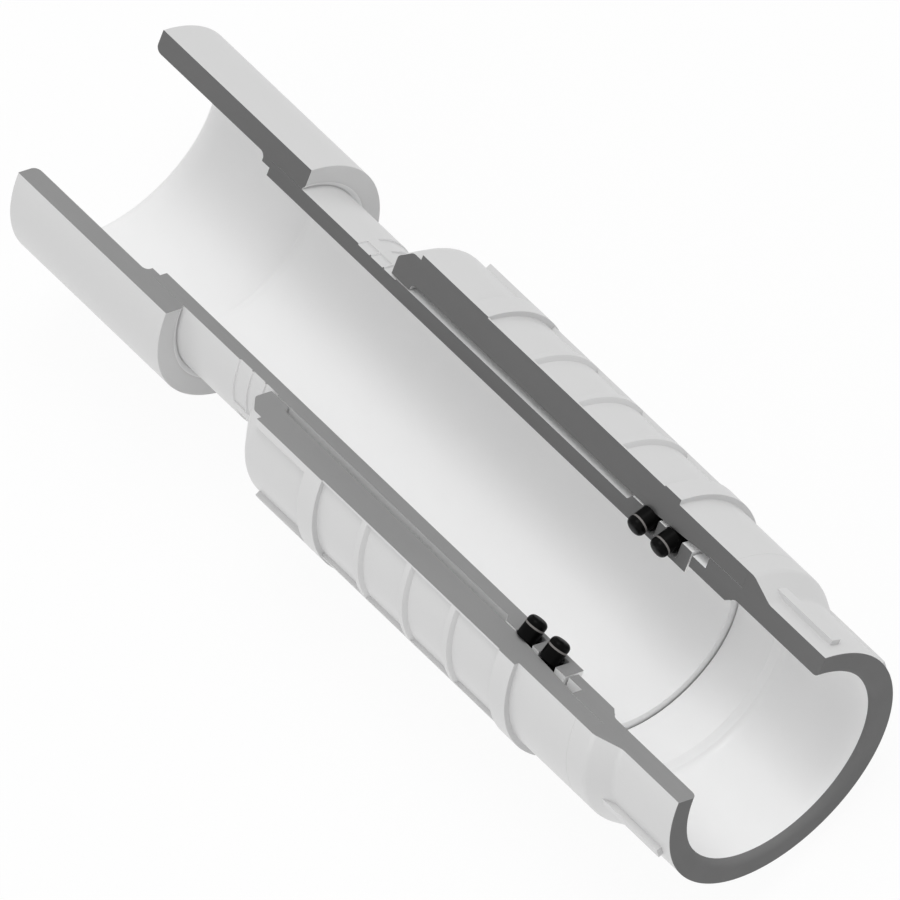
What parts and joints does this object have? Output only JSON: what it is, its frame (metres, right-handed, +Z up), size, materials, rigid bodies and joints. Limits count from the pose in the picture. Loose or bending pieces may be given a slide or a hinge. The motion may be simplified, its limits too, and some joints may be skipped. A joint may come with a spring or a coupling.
{
  "type": "telescoping pipe coupling",
  "caption": "Telescoping PVC pipe coupling with solvent sockets at both ends, a sliding sealed sleeve and a ribbed barrel, cut away along its top to show the inside.",
  "frame": {"origin": "on the pipe axis, where a pipe pushed into the fixed socket comes to rest", "axes": "+X along the pipe axis, out of the fixed socket's mouth; +Z up through the middle of the cut-away window; +Y completes a right-handed frame"},
  "size_m": [0.21, 0.0674, 0.0575],
  "materials": {
    "pvc": "smooth moulded, slightly glossy",
    "seal_rubber": "black, satin"
  },
  "bodies": {
    "housing": {"barrel": "pvc", "end_socket": "pvc"},
    "slider": {"sleeve": "pvc", "hub_socket": "pvc", "front_seal": "seal_rubber", "rear_seal": "seal_rubber"}
  },
  "joints": [
    {"name": "telescoping_slide", "type": "slide", "parent": "housing", "child": "slider", "axis": [-1, 0, 0], "range_m": [0, 0.0687]}
  ]
}
